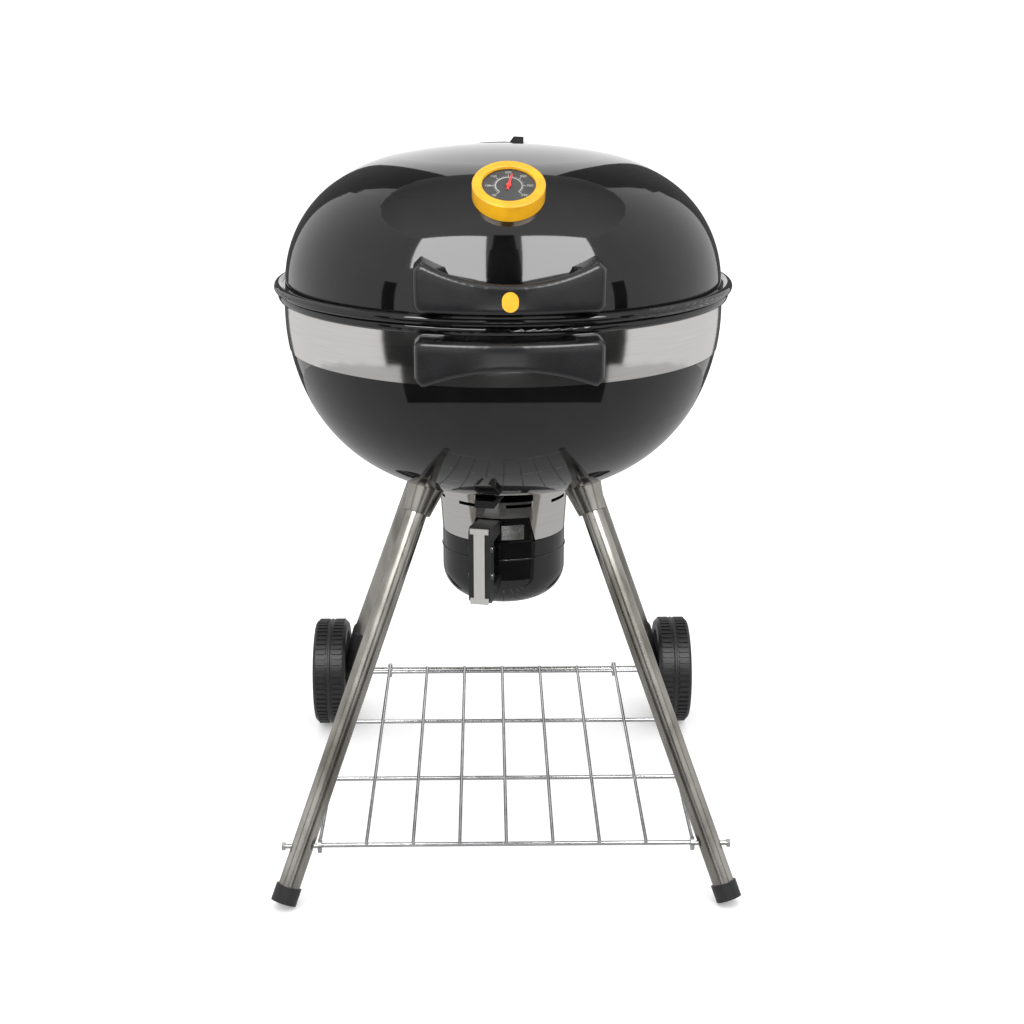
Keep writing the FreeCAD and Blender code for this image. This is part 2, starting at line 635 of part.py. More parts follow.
def add_collar():
    top, low = size("collar_top"), size("collar_bottom")
    outer, foot, gauge = size("collar_radius"), size("collar_foot"), size("collar_gauge")
    edges = outline([(outer, top), (foot, low), (foot - gauge, low), (outer - gauge, top)])
    ring = turned_body("collar_ring", edges)
    tools = []
    for number in range(8):
        tools.append(sector("collar_slot_%d" % number, 70, 95, 466.5, 471.0, 13 + 45 * number, 23.0))
    tools.append(sector("lever_slot", 70, 95, 474.5, 500, 0, 52.0))
    notch = body("collar_notch")
    face = outline([(-50, low - 5), (43, low - 5), (33, 452), (-38, 452)])
    pad(notch, sketch(notch, "notch_outline", "XZ_Plane", face), 120.0)
    tools.append(notch)
    part(cut("ash_collar", ring, *tools), "ash_collar")


def add_bucket():
    gauge = size("sheet_gauge")
    inner, outer = size("bucket_radius"), size("bucket_outer")
    top, low, corner = size("bucket_top"), size("bucket_bottom"), size("bucket_corner")
    ledge = size("collar_bottom") - 0.8

    def corner_arc(offset):
        centre = Vector(outer - corner, low + corner, 0)
        reach = corner - offset
        return [centre + Vector(reach * math.cos(a), -reach * math.sin(a), 0)
                for a in (0, math.pi / 4, math.pi / 2)]
    outside, inside = corner_arc(0), corner_arc(gauge)
    points = [(inner, top), (inner, ledge), (outer, ledge)]
    edges = [Part.LineSegment(Vector(x1, y1, 0), Vector(x2, y2, 0))
             for (x1, y1), (x2, y2) in zip(points, points[1:])]
    edges.append(Part.LineSegment(Vector(outer, ledge, 0), outside[0]))
    edges.append(arc(*outside))
    edges.append(Part.LineSegment(outside[2], Vector(0, low, 0)))
    edges.append(Part.LineSegment(Vector(0, low, 0), Vector(0, low + gauge, 0)))
    edges.append(Part.LineSegment(Vector(0, low + gauge, 0), inside[2]))
    edges.append(arc(*inside))
    points = [(inside[0].x, inside[0].y), (outer - gauge, ledge - gauge), (inner - gauge, ledge - gauge),
              (inner - gauge, top), (inner, top)]
    edges += [Part.LineSegment(Vector(x1, y1, 0), Vector(x2, y2, 0))
              for (x1, y1), (x2, y2) in zip(points, points[1:])]
    limits = [("Radius", 3, "Sizes.bucket_corner"), ("Radius", 7, "Sizes.bucket_corner - Sizes.sheet_gauge")]
    owner = turned_body("bucket_body", edges, limits)
    circle = Part.Circle(Vector(outer - 0.3, 393.0, 0), Vector(0, 0, 1), 1.4)
    revolve(owner, sketch(owner, "bucket_bead", "YZ_Plane", [circle]))
    part(owner, "ash_bucket")

    plate = sector("strike_plate", inner + 0.2, inner + 1.6, 421.0, 441.0, 8.0, 21.0)
    part(plate, "bucket_latch")


def add_bucket_handle():
    reach, half = size("grip_reach"), size("grip_width") / 2
    top, low = size("grip_top"), size("grip_bottom")
    wall = size("bucket_outer") + 0.3
    owner = body("grip_body")
    face = outline([(-wall + 1, low + 4), (-reach + 8, low), (-reach, low + 6), (-reach, top - 6),
                    (-reach + 6, top), (-wall + 1, top - 7), (-wall + 1, top - 24), (-reach + 22, top - 24),
                    (-reach + 22, low + 20), (-wall + 1, low + 20)])
    pad(owner, sketch(owner, "grip_outline", "YZ_Plane", face), sized("grip_width"), midplane=True)
    trim = cylinder("grip_trim", "Sizes.bucket_outer + 0.4", 300.0, (0, 0, 300))
    room = cylinder("grip_collar_room", "Sizes.collar_radius + 0.5", 100.0, (0, 0, 417.0))
    rivet_holes = [cylinder("grip_rivet_hole_%d" % n, "3.0 mm", 80.0, (-40, -reach + 11, z), (1, 0, 0))
                   for n, z in enumerate((426.0, 389.0))]
    angle = size("bucket_handle_angle")
    part(cut("bucket_handle", owner, trim, room, *rivet_holes), "bucket_handle", angle)

    strap = body("grip_strap")
    edges = outline([(-7.2, low + 8), (7.2, low + 8), (7.2, top - 8), (12.4, top - 8), (12.4, top - 0.5),
                     (-12.4, top - 0.5), (-12.4, top - 8), (-7.2, top - 8)])
    pad(strap, sketch(strap, "strap_outline", "XZ_Plane", edges), 1.2)
    strap.Placement = Placement(Vector(0, -reach - 0.1, 0), Rotation())
    foot = box("strap_foot", (-12.4, -reach - 1.3, low + 0.5), (12.4, -reach - 0.1, low + 9))
    part(fuse("bucket_handle_strap", strap, foot), "bucket_handle_strap", angle)

    rivets = []
    for number, height in enumerate((426.0, 389.0)):
        length = size("grip_width") + 2
        shank = cylinder("grip_rivet_%d" % number, "2.95 mm", length, (-length / 2, -reach + 11, height), (1, 0, 0))
        heads = [cylinder("grip_rivet_head_%d_%d" % (number, side + 1), "5 mm", 1.6,
                          (side * (half + 0.9) - 0.8, -reach + 11, height), (1, 0, 0)) for side in (-1, 1)]
        rivets.append(fuse("rivet_%d" % number, shank, *heads))
    part(group("bucket_handle_rivets", *rivets), "bucket_handle_rivets", angle)


# ---------------------------------------------------------------- legs, axle and wheels
FOOT = Vector(size("foot_x"), -size("foot_y"), 0)
FRONT_TOP = Vector(size("leg_top_x"), -size("leg_top_y"), size("leg_top_z"))
AXLE_END = Vector(size("axle_x"), size("axle_y"), size("axle_z"))
REAR_TOP = Vector(size("rear_top_x"), size("leg_top_y"), size("leg_top_z"))


def on_leg(bottom, top, height):
    """Point of a leg's centre line at this height."""
    return bottom + (top - bottom) * ((height - bottom.z) / (top.z - bottom.z))


def leg_rod(name, bottom, top, radius, low, high):
    start, end = on_leg(bottom, top, low), on_leg(bottom, top, high)
    return cylinder(name, radius, (end - start).Length, start, end - start)


def add_leg(side, label, bottom, top, low, bolt):
    outer = leg_rod(label + "_outer", bottom, top, sized("leg_radius"), low, 540)
    bore = leg_rod(label + "_bore", bottom, top, sized("leg_bore"), low - 30, 560)
    tools = [bore, SKINS["leg"]]
    if bolt:
        spot = on_leg(bottom, top, size("shelf_front_z"))
        tools.append(cylinder(label + "_bolt_hole", "Sizes.bolt_radius + 0.1", 90.0,
                              (spot.x - 45, spot.y, spot.z), (1, 0, 0)))
    tube = cut(label, outer, *tools)
    if side < 0:
        tube = mirrored(label + "_mirror", tube)
    part(tube, label)


def add_sleeves():
    """Bright conical sleeves where the legs meet the bowl."""
    sleeves = []
    for name, bottom, top in (("front", FOOT, FRONT_TOP), ("rear", AXLE_END, REAR_TOP)):
        start = on_leg(bottom, top, size("sleeve_start"))
        end = on_leg(bottom, top, 545)
        length = (end - start).Length
        small, slope = size("sleeve_small"), size("sleeve_slope")
        place = Placement(start, Rotation(Vector(0, 0, 1), end - start))
        outer = make("Part::Cone", name + "_sleeve", Radius1="Sizes.sleeve_small",
                     Radius2=small + slope * length, Height=length)
        outer.Placement = place
        wall = 1.6
        inner = make("Part::Cone", name + "_sleeve_room", Radius1=small - wall + 2 * slope,
                     Radius2=small - wall + slope * length, Height=length)
        inner.Placement = place.multiply(Placement(Vector(0, 0, 2), Rotation()))
        bore = leg_rod(name + "_sleeve_bore", bottom, top, "Sizes.leg_radius + 0.1", 440, 560)
        solid = cut(name + "_sleeve", outer, inner, bore, SKINS["leg"])
        sleeves += [solid, mirrored(name + "_sleeve_left", solid)]
    part(group("leg_sleeves", *sleeves), "leg_sleeves")


def add_feet():
    start = on_leg(FOOT, FRONT_TOP, size("foot_cap_start"))
    cap = cylinder("foot_cap_outer", sized("foot_cap_radius"), sized("foot_cap_length"), start, FRONT_TOP - FOOT)
    bore = leg_rod("foot_cap_bore", FOOT, FRONT_TOP, "Sizes.leg_radius + 0.1", size("leg_start") - 0.2, 60)
    under = box("foot_cap_floor", (200, -400, -60), (400, -200, 0))
    foot = cut("foot_cap", cap, under, bore)
    part(group("foot_caps", foot, mirrored("foot_cap_left", foot)), "foot_caps")


def add_axle_brackets():
    """Moulded ends of the rear legs that carry the axle."""
    start = on_leg(AXLE_END, REAR_TOP, size("axle_z"))
    end = on_leg(AXLE_END, REAR_TOP, size("bracket_top"))
    stem = make("Part::Cone", "bracket_stem", Radius1=11.0, Radius2=16.2, Height=(end - start).Length)
    stem.Placement = Placement(start, Rotation(Vector(0, 0, 1), end - start))
    housing = cylinder("bracket_housing", "12 mm", 27.0, (235.0, size("axle_y"), size("axle_z")), (1, 0, 0))
    low = size("rear_tube_end") - 0.3
    socket = leg_rod("bracket_socket", AXLE_END, REAR_TOP, "Sizes.leg_radius + 0.1", low, low + 60)
    bore = cylinder("bracket_bore", "Sizes.axle_radius + 0.1", 80.0, (210, size("axle_y"), size("axle_z")), (1, 0, 0))
    wire_height = size("shelf_back_z") + size("shelf_frame") + size("shelf_rod")
    notch = cylinder("bracket_notch", "Sizes.shelf_rod + 1", 60.0, (size("shelf_half"), 210, wire_height), (0, 1, 0))
    bracket = cut("bracket", fuse("bracket_whole", stem, housing), socket, bore, notch)
    part(group("axle_brackets", bracket, mirrored("bracket_left", bracket)), "axle_brackets")


def add_axle():
    half, y, z = size("axle_half"), size("axle_y"), size("axle_z")
    part(cylinder("axle_rod", sized("axle_radius"), "2 * Sizes.axle_half", (-half, y, z), (1, 0, 0)), "axle")
    washer = cut("washer", cylinder("washer_disc", "10 mm", 3.0, (262.6, y, z), (1, 0, 0)),
                 cylinder("washer_bore", "Sizes.axle_radius + 0.1", 20.0, (255, y, z), (1, 0, 0)))
    part(group("axle_washers", washer, mirrored("washer_left", washer)), "axle_washers")
    cap = body("hub_cap_body")
    edges = [Part.LineSegment(Vector(5.1, 0, 0), Vector(13, 0, 0)),
             Part.LineSegment(Vector(13, 0, 0), Vector(13, 3, 0)),
             arc(Vector(13, 3, 0), Vector(9.5, 6.4, 0), Vector(4, 7.6, 0)),
             Part.LineSegment(Vector(4, 7.6, 0), Vector(0, 7.6, 0)),
             Part.LineSegment(Vector(0, 7.6, 0), Vector(0, 4.6, 0)),
             Part.LineSegment(Vector(0, 4.6, 0), Vector(5.1, 4.6, 0)),
             Part.LineSegment(Vector(5.1, 4.6, 0), Vector(5.1, 0, 0))]
    revolve(cap, sketch(cap, "hub_cap_outline", "YZ_Plane", edges))
    cap.Placement = Placement(Vector(292.6, y, z), Rotation(Vector(0, 0, 1), Vector(1, 0, 0)))
    part(group("hub_caps", cap, mirrored("hub_cap_left", cap)), "hub_caps")


def add_wheel(side, label):
    """Moulded wheel, dished on its inner side so that the leg's end fits inside it."""
    owner = body(label + "_body")
    rim, width = size("wheel_radius"), size("wheel_width")
    bore, recess, dish = size("wheel_bore"), size("wheel_recess"), size("wheel_dish")
    edges = outline([(bore, 19.5), (20, 19.5), (20, dish), (recess - 2, dish), (recess, dish - 2),
                     (recess + 2, 1), (recess + 3, 0), (rim - 6, 0), (rim - 1.5, 4), (rim, 9),
                     (rim, width - 9), (rim - 1.5, width - 4), (rim - 6, width), (rim - 18, width),
                     (rim - 21, width - 3), (rim - 23, width - 12), (26, width - 16), (22, width - 5.2),
                     (bore, width - 5.2)])
    revolve(owner, sketch(owner, label + "_outline", "YZ_Plane", edges))
    for middle in (17.0, width - 17.0):
        ring = outline([(rim - 1.5, middle - 1), (rim + 2, middle - 1), (rim + 2, middle + 1), (rim - 1.5, middle + 1)])
        groove = sketch(owner, "%s_groove_%d" % (label, middle), "YZ_Plane", ring)
        revolve(owner, groove, groove=True)
    direction = Vector(side, 0, 0)
    spot = Vector(side * size("wheel_inside"), size("axle_y"), size("axle_z"))
    owner.Placement = Placement(spot, Rotation(Vector(0, 0, 1), direction))
    part(owner, label)


# ---------------------------------------------------------------- bottom shelf
def add_shelf():
    """Welded wire shelf: long rods on four cross rods, bolted to the front legs."""
    rod, frame, half = size("shelf_rod"), size("shelf_frame"), size("shelf_half")
    front, back = -size("shelf_front"), size("shelf_back")
    slope = (size("shelf_back_z") - size("shelf_front_z")) / (back - front)

    def height(y):
        return size("shelf_front_z") + slope * (y - front)
    shapes = []
    for number in range(4):
        y = front + (back - front) * number / 3
        reach = half - 1.5
        shapes.append(Part.makeCylinder(frame, 2 * reach, Vector(-reach, y, height(y)), Vector(1, 0, 0)))
    lift = frame + rod - 0.6
    along = Vector(0, 1, slope)
    count = int(half / size("shelf_pitch"))
    for number in range(-count, count + 1):
        x = number * size("shelf_pitch")
        start = front - 5 if abs(number) < count else front + 7
        end = back + {180: 14, 240: 2.5}.get(abs(x), 6)
        length = (end - start) * math.sqrt(1 + slope ** 2)
        shapes.append(Part.makeCylinder(rod, length, Vector(x, start, height(start) + lift), along))
    spot = on_leg(FOOT, FRONT_TOP, size("shelf_front_z"))
    for side in (-1, 1):
        eye = Part.makeCylinder(9.0, 4.5, Vector(side * 237.5, spot.y, spot.z), Vector(side, 0, 0))
        hole = Part.makeCylinder(size("bolt_radius") + 0.1, 4.5, Vector(side * 239.2, spot.y, spot.z),
                                 Vector(side, 0, 0))
        shapes.append(eye.cut(hole))
        x = side * 180 - 3
        centre = Vector(x, size("axle_y"), size("axle_z"))
        ring = Part.makeCylinder(11.5, 6, centre, Vector(1, 0, 0))
        ring = ring.cut(Part.makeCylinder(5.3, 6, centre, Vector(1, 0, 0)))
        shapes.append(ring.cut(Part.makeBox(6, 10.6, 20, Vector(x, centre.y - 5.3, centre.z - 20))))
    feature = doc.addObject("Part::Feature", "shelf_wires")
    feature.Shape = shapes[0].multiFuse(shapes[1:])
    part(feature, "bottom_shelf")
    shank_start = 239.5
    shank = cylinder("shelf_bolt_shank", sized("bolt_radius"), 45.0, (shank_start, spot.y, spot.z), (1, 0, 0))
    head = make("Part::Prism", "shelf_bolt_head", Polygon=6, Circumradius=6.0, Height=4.0)
    head.Placement = Placement(Vector(shank_start + 44.9, spot.y, spot.z), Rotation(Vector(0, 0, 1), Vector(1, 0, 0)))
    bolt = fuse("shelf_bolt", shank, head)
    part(group("shelf_bolts", bolt, mirrored("shelf_bolt_left", bolt)), "shelf_bolts")


# ---------------------------------------------------------------- assembly
SKINS = {
    "lid": dome_envelope("lid_skin", "lid", size("gap")),
    "bowl": dome_envelope("bowl_skin", "bowl", size("gap") + size("band_gauge") + 0.3),
    "leg": dome_envelope("leg_skin", "bowl", size("gap")),
}
add_lid()
add_lid_vent()
add_handles(SKINS["lid"], SKINS["bowl"])
add_emblem()
add_handle_screws()
add_thermometer(SKINS["lid"])
add_bowl()
add_band()
add_brackets()
grate("cooking_grate", size("grate_radius"), size("grate_height"), size("grate_rod"), size("grate_ring"),
      size("grate_pitch"), True)
grate("charcoal_grate", size("coal_radius"), size("coal_height"), size("coal_rod"), size("coal_ring"),
      size("coal_pitch"), False)
add_damper()
add_collar()
add_bucket()
add_bucket_handle()
add_leg(1, "front_leg_right", FOOT, FRONT_TOP, size("leg_start"), True)
add_leg(-1, "front_leg_left", FOOT, FRONT_TOP, size("leg_start"), True)
add_leg(1, "rear_leg_right", AXLE_END, REAR_TOP, size("rear_tube_end"), False)
add_leg(-1, "rear_leg_left", AXLE_END, REAR_TOP, size("rear_tube_end"), False)
add_sleeves()
add_feet()
add_axle_brackets()
add_axle()
add_wheel(1, "wheel_right")
add_wheel(-1, "wheel_left")
add_shelf()
doc.recompute()

for obj in doc.Objects:
    if "Invalid" in obj.State or "Error" in obj.State:
        print(obj.Name, obj.getStatusString())
        raise RuntimeError("failed object: " + obj.Name + " " + obj.Label)
for obj in parts:
    if obj.Shape.isNull() or not obj.Shape.isValid() or obj.Shape.Volume < 1:
        raise RuntimeError("bad shape: " + obj.Label)

os.makedirs("parts", exist_ok=True)
for obj in parts:
    obj.Shape.exportStep(os.path.join("parts", obj.Label + ".step"))
print(len(parts), "sub-parts")
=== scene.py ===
import json
import math

import bmesh
import bpy
from mathutils import Matrix, Vector


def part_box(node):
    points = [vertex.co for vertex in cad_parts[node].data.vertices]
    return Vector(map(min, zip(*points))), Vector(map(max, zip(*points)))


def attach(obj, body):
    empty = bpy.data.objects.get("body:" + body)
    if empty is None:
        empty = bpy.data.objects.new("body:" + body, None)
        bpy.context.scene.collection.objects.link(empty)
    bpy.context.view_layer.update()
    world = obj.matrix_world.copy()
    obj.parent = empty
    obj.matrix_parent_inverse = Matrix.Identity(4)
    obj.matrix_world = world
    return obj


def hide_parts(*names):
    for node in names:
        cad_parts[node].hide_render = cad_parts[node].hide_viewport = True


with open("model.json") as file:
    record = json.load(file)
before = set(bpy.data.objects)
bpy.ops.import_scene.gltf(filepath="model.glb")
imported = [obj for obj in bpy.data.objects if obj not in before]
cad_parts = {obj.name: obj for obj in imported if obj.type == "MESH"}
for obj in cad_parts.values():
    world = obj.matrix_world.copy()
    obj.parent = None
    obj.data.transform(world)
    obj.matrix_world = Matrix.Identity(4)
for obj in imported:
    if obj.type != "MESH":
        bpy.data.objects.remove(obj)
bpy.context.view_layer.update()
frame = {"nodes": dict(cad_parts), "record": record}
nodes = frame["nodes"]

# ---------------------------------------------------------------- places from the frame
BOWL_LOW, BOWL_HIGH = (Vector(corner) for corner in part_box("bowl_shell"))
AXIS_Y = (BOWL_LOW.y + BOWL_HIGH.y) / 2
JOINTS = {joint["name"]: joint for joint in frame["record"]["behaviour"]["joints"]}
GAUGE_SPOT = Vector(JOINTS["needle_turn"]["pos_m"])
GAUGE_NORMAL = Vector(JOINTS["needle_turn"]["axis"]).normalized()

# ---------------------------------------------------------------- sizes of the finer pieces, in metres
HANDLE_CELL, HANDLE_ROUNDS, GRIP_DEPTH = 0.0014, 50, 0.026
TREAD_DEPTH, RIBS, RIB_TAPER, RIM_STEPS = 0.0022, 60, 0.86, 96
RIB_OFFSET, RIB_HALF_WIDTH, RIB_SHARE, RIB_HALF_HEIGHT = 0.25, 0.17, 0.56, 0.9
RIM_HALF_WIDTH, RIM_HALF_CROWN, RIM_EDGE_DROP, RIM_CROWN_DROP = 0.045, 0.02, 0.0008, 0.0002
DIAL_LIFT, PRINT_THICKNESS, SCALE_START, SCALE_SWEEP, SCALE_STEPS = 0.01325, 0.00012, -135, 270, 60
SCALE_INNER, SCALE_OUTER, TICK_START = 0.0150, 0.0161, 0.0164
TICKS, TICKS_PER_NUMBER, LONG_TICK_END, SHORT_TICK_END = 30, 5, 0.0205, 0.0183
LONG_TICK_HALF, SHORT_TICK_HALF = 0.0004, 0.0002
NUMBER_SIZE, NUMBER_RADIUS, NUMBER_STEP = 0.0052, 0.0248, 50

# ---------------------------------------------------------------- camera and studio, in metres and degrees
CAMERA_LENS, CAMERA_PITCH, CAMERA_HEADING = 56.32, 17.29, 0.0159
CAMERA_X, CAMERA_DISTANCE, CAMERA_HEIGHT = -0.0221, 2.1207, 1.0947
TENT_RADIUS, TENT_HEIGHT, TENT_SIDES, FLOOR_SIZE = 2.0, 3.0, 24, 400
GLOW, BOX_GLOW, SIDE_POWER, TOP_POWER = 1.06, 8.0, 12, 20
FLOOR_SHADE, FLOOR_PAINT, BLACK = 0.45, 0.99, 0.01
# name, bearings from and to, low and high edge, brightness
CURTAINS = (
    ("front_high", 0, 9, 0.45, TENT_HEIGHT, BLACK),
    ("front_low", 9, 60, 0.0, 0.5, BLACK),
    ("front_sides", 9, 53, 0.5, TENT_HEIGHT, 0.75),
    ("edge_low", 53, 60, 0.5, 1.25, BLACK),
    ("edge_high", 53, 60, 1.25, TENT_HEIGHT, 0.7),
    ("sides", 60, 144, 0.0, TENT_HEIGHT, 0.68),
    ("rear_sides", 144, 165, 0.0, TENT_HEIGHT, 0.08),
)


# ---------------------------------------------------------------- material helpers
def new_material(name, color, metallic=0.0, roughness=0.4, **sockets):
    """A Principled material; sockets are set directly by their own names."""
    material = bpy.data.materials.new(name)
    material.use_nodes = True
    shader = material.node_tree.nodes["Principled BSDF"]
    shader.inputs["Base Color"].default_value = (*color, 1)
    shader.inputs["Metallic"].default_value = metallic
    shader.inputs["Roughness"].default_value = roughness
    for socket, amount in sockets.items():
        shader.inputs[socket.replace("_", " ")].default_value = amount
    return material


def add(material, kind, **values):
    node = material.node_tree.nodes.new(kind)
    for key, amount in values.items():
        if key in node.inputs:
            node.inputs[key].default_value = amount
        else:
            setattr(node, key, amount)
    return node


def link(material, source, output, target, socket):
    material.node_tree.links.new(source.outputs[output], target.inputs[socket])


def coordinates(material, scale=(1, 1, 1), output="Object"):
    place = add(material, "ShaderNodeTexCoord")
    mapping = add(material, "ShaderNodeMapping", Scale=scale)
    link(material, place, output, mapping, "Vector")
    return mapping


def noise(material, scale, detail=3.0, stretch=(1, 1, 1)):
    node = add(material, "ShaderNodeTexNoise", Scale=scale, Detail=detail)
    link(material, coordinates(material, stretch), "Vector", node, "Vector")
    return node


def vary_roughness(material, pattern, low, high):
    spread = add(material, "ShaderNodeMapRange")
    spread.inputs["To Min"].default_value = low
    spread.inputs["To Max"].default_value = high
    link(material, pattern, "Fac", spread, "Value")
    link(material, spread, "Result", material.node_tree.nodes["Principled BSDF"], "Roughness")


def vary_color(material, pattern, first, second, start=0.35, end=0.65):
    ramp = add(material, "ShaderNodeValToRGB")
    ramp.color_ramp.elements[0].position = start
    ramp.color_ramp.elements[0].color = (*first, 1)
    ramp.color_ramp.elements[1].position = end
    ramp.color_ramp.elements[1].color = (*second, 1)
    link(material, pattern, "Fac", ramp, "Fac")
    link(material, ramp, "Color", material.node_tree.nodes["Principled BSDF"], "Base Color")


def bump(material, pattern, strength, distance):
    node = add(material, "ShaderNodeBump", Strength=strength, Distance=distance)
    link(material, pattern, "Fac", node, "Height")
    link(material, node, "Normal", material.node_tree.nodes["Principled BSDF"], "Normal")


# ---------------------------------------------------------------- materials
def enamel():
    """Deep gloss porcelain enamel with faint waviness and a few fine specks."""
    material = new_material("enamel", (0.006, 0.006, 0.0065), roughness=0.05, Coat_Weight=0.4,
                            Coat_Roughness=0.03)
    vary_roughness(material, noise(material, 9.0, 4.0), 0.035, 0.085)
    vary_color(material, noise(material, 30.0, 5.0), (0.003, 0.003, 0.0033), (0.005, 0.005, 0.0055))
    bump(material, noise(material, 14.0, 2.0), 0.06, 0.0008)
    return material


def polished_steel(name="polished_steel", grain=(2, 2, 90), color=(0.82, 0.80, 0.785), rough=(0.07, 0.13),
                   metallic=1.0):
    """Stainless with a fine directional grain."""
    material = new_material(name, color, metallic=metallic, roughness=0.2, Anisotropic=0.2)
    pattern = noise(material, 14.0, 8.0, grain)
    vary_roughness(material, pattern, *rough)
    tint = tuple(c * 0.94 for c in color)
    vary_color(material, noise(material, 6.0, 3.0, grain), tint, color, 0.3, 0.7)
    bump(material, pattern, 0.05, 0.0004)
    return material


def leg_steel():
    material = new_material("leg_steel", (0.60, 0.58, 0.54), metallic=1.0, roughness=0.16)
    pattern = noise(material, 30.0, 6.0, (1, 1, 0.1))
    vary_roughness(material, pattern, 0.17, 0.30)
    vary_color(material, noise(material, 22.0, 3.0, (1, 1, 0.06)), (0.27, 0.255, 0.225), (0.56, 0.54, 0.50))
    bump(material, pattern, 0.05, 0.0003)
    return material


def chrome_wire():
    material = new_material("chrome_wire", (0.62, 0.62, 0.63), metallic=1.0, roughness=0.18)
    vary_roughness(material, noise(material, 60.0, 4.0), 0.12, 0.3)
    vary_color(material, noise(material, 25.0, 3.0), (0.5, 0.5, 0.51), (0.7, 0.7, 0.71))
    return material


def plain_steel():
    material = new_material("plain_steel", (0.35, 0.35, 0.35), metallic=1.0, roughness=0.42)
    vary_roughness(material, noise(material, 40.0, 5.0), 0.3, 0.55)
    vary_color(material, noise(material, 18.0, 4.0), (0.26, 0.255, 0.25), (0.42, 0.42, 0.42))
    return material


def bright_steel():
    material = new_material("bright_steel", (0.62, 0.62, 0.60), metallic=1.0, roughness=0.25)
    vary_roughness(material, noise(material, 90.0, 4.0), 0.18, 0.36)
    vary_color(material, noise(material, 45.0, 3.0), (0.52, 0.52, 0.50), (0.68, 0.68, 0.66))
    return material


def moulded(name, color, low, high, texture=500.0, strength=0.12, coat=0.0):
    """Injection-moulded plastic: fine spark texture and slow gloss variation."""
    material = new_material(name, color, roughness=low, Coat_Weight=coat, Coat_Roughness=0.12)
    vary_roughness(material, noise(material, 12.0, 4.0), low, high)
    lighter = tuple(min(1.0, c * 1.35) for c in color)
    vary_color(material, noise(material, 35.0, 4.0), color, lighter)
    bump(material, noise(material, texture, 2.0), strength, 0.0003)
    return material


def clear_glass():
    return new_material("dial_glass", (1, 1, 1), roughness=0.02, Transmission_Weight=1.0, IOR=1.0)


MATERIALS = {
    "enamel": enamel(),
    "polished_steel": polished_steel(),
    "leg_steel": leg_steel(),
    "handle_plastic": moulded("handle_plastic", (0.012, 0.012, 0.013), 0.20, 0.28, 60.0, 0.04, 0.15),
    "black_plastic": moulded("black_plastic", (0.014, 0.014, 0.015), 0.32, 0.46),
    "wheel_plastic": moulded("wheel_plastic", (0.013, 0.013, 0.014), 0.34, 0.46),
    "chrome_wire": chrome_wire(),
    "plain_steel": plain_steel(),
    "bright_steel": bright_steel(),
    "brushed_strap": polished_steel("brushed_strap", (60, 2, 2), (0.62, 0.61, 0.58), (0.4, 0.55), 0.55),
    "yellow_badge": moulded("yellow_badge", (0.80, 0.375, 0.010), 0.3, 0.4, 300.0, 0.05),
    "yellow_bezel": moulded("yellow_bezel", (0.80, 0.385, 0.010), 0.26, 0.36, 300.0, 0.05, 0.3),
    "dial_face": moulded("dial_face", (0.02, 0.021, 0.022), 0.35, 0.45, 400.0, 0.05),
    "dial_glass": clear_glass(),
    "dial_print": moulded("dial_print", (0.34, 0.34, 0.32), 0.4, 0.5, 300.0, 0.03),
    "needle_red": moulded("needle_red", (0.75, 0.02, 0.012), 0.3, 0.4, 300.0, 0.03),
}


def dress_nodes():
    slots = {entry["node"]: entry["material_slot"] for entry in frame["record"]["subparts"]}
    for name, obj in nodes.items():
        obj.data.materials.clear()
        obj.data.materials.append(MATERIALS[slots[name]])


# ---------------------------------------------------------------- finer pieces
def new_piece(name, mesh, material, body):
    """A visual piece that rides on a body and takes the given material."""
    piece = bpy.data.objects.new(name, mesh)
    mesh.materials.clear()
    mesh.materials.append(material)
    bpy.context.scene.collection.objects.link(piece)
    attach(piece, body)
    return piece


def block(builder, centre, axes, half_sizes, taper=1.0):
    """A small block; its far end (along the last axis) may be narrower."""
    across, along, out = axes
    ring = []
    for end, narrow in ((-1, 1.0), (1, taper)):
        for a, b in ((-1, -1), (1, -1), (1, 1), (-1, 1)):
            offset = across * (a * half_sizes[0] * narrow) + along * (b * half_sizes[1] * narrow)
            ring.append(builder.verts.new(centre + offset + out * (end * half_sizes[2])))
    for face in ((3, 2, 1, 0), (4, 5, 6, 7), (0, 1, 5, 4), (1, 2, 6, 5), (2, 3, 7, 6), (3, 0, 4, 7)):
        builder.faces.new([ring[index] for index in face])


def add_middle_rib(builder, centre, width, radius):
    """The smooth rib round the middle of a wheel's tread."""
    base, edge, crown = radius - 2 * TREAD_DEPTH, radius - RIM_EDGE_DROP, radius - RIM_CROWN_DROP
    outline = ((-RIM_HALF_WIDTH, base), (-RIM_HALF_WIDTH, edge), (-RIM_HALF_CROWN, crown),
               (RIM_HALF_CROWN, crown), (RIM_HALF_WIDTH, edge), (RIM_HALF_WIDTH, base))
    rings = []
    for across, reach in outline:
        turns = [2 * math.pi * number / RIM_STEPS for number in range(RIM_STEPS)]
        rings.append([builder.verts.new((centre.x + across * width, centre.y + reach * math.cos(turn),
                                         centre.z + reach * math.sin(turn))) for turn in turns])
    for row, ring in enumerate(rings):
        beside = rings[(row + 1) % len(rings)]
        for number in range(RIM_STEPS):
            after = (number + 1) % RIM_STEPS
            builder.faces.new((ring[number], beside[number], beside[after], ring[after]))


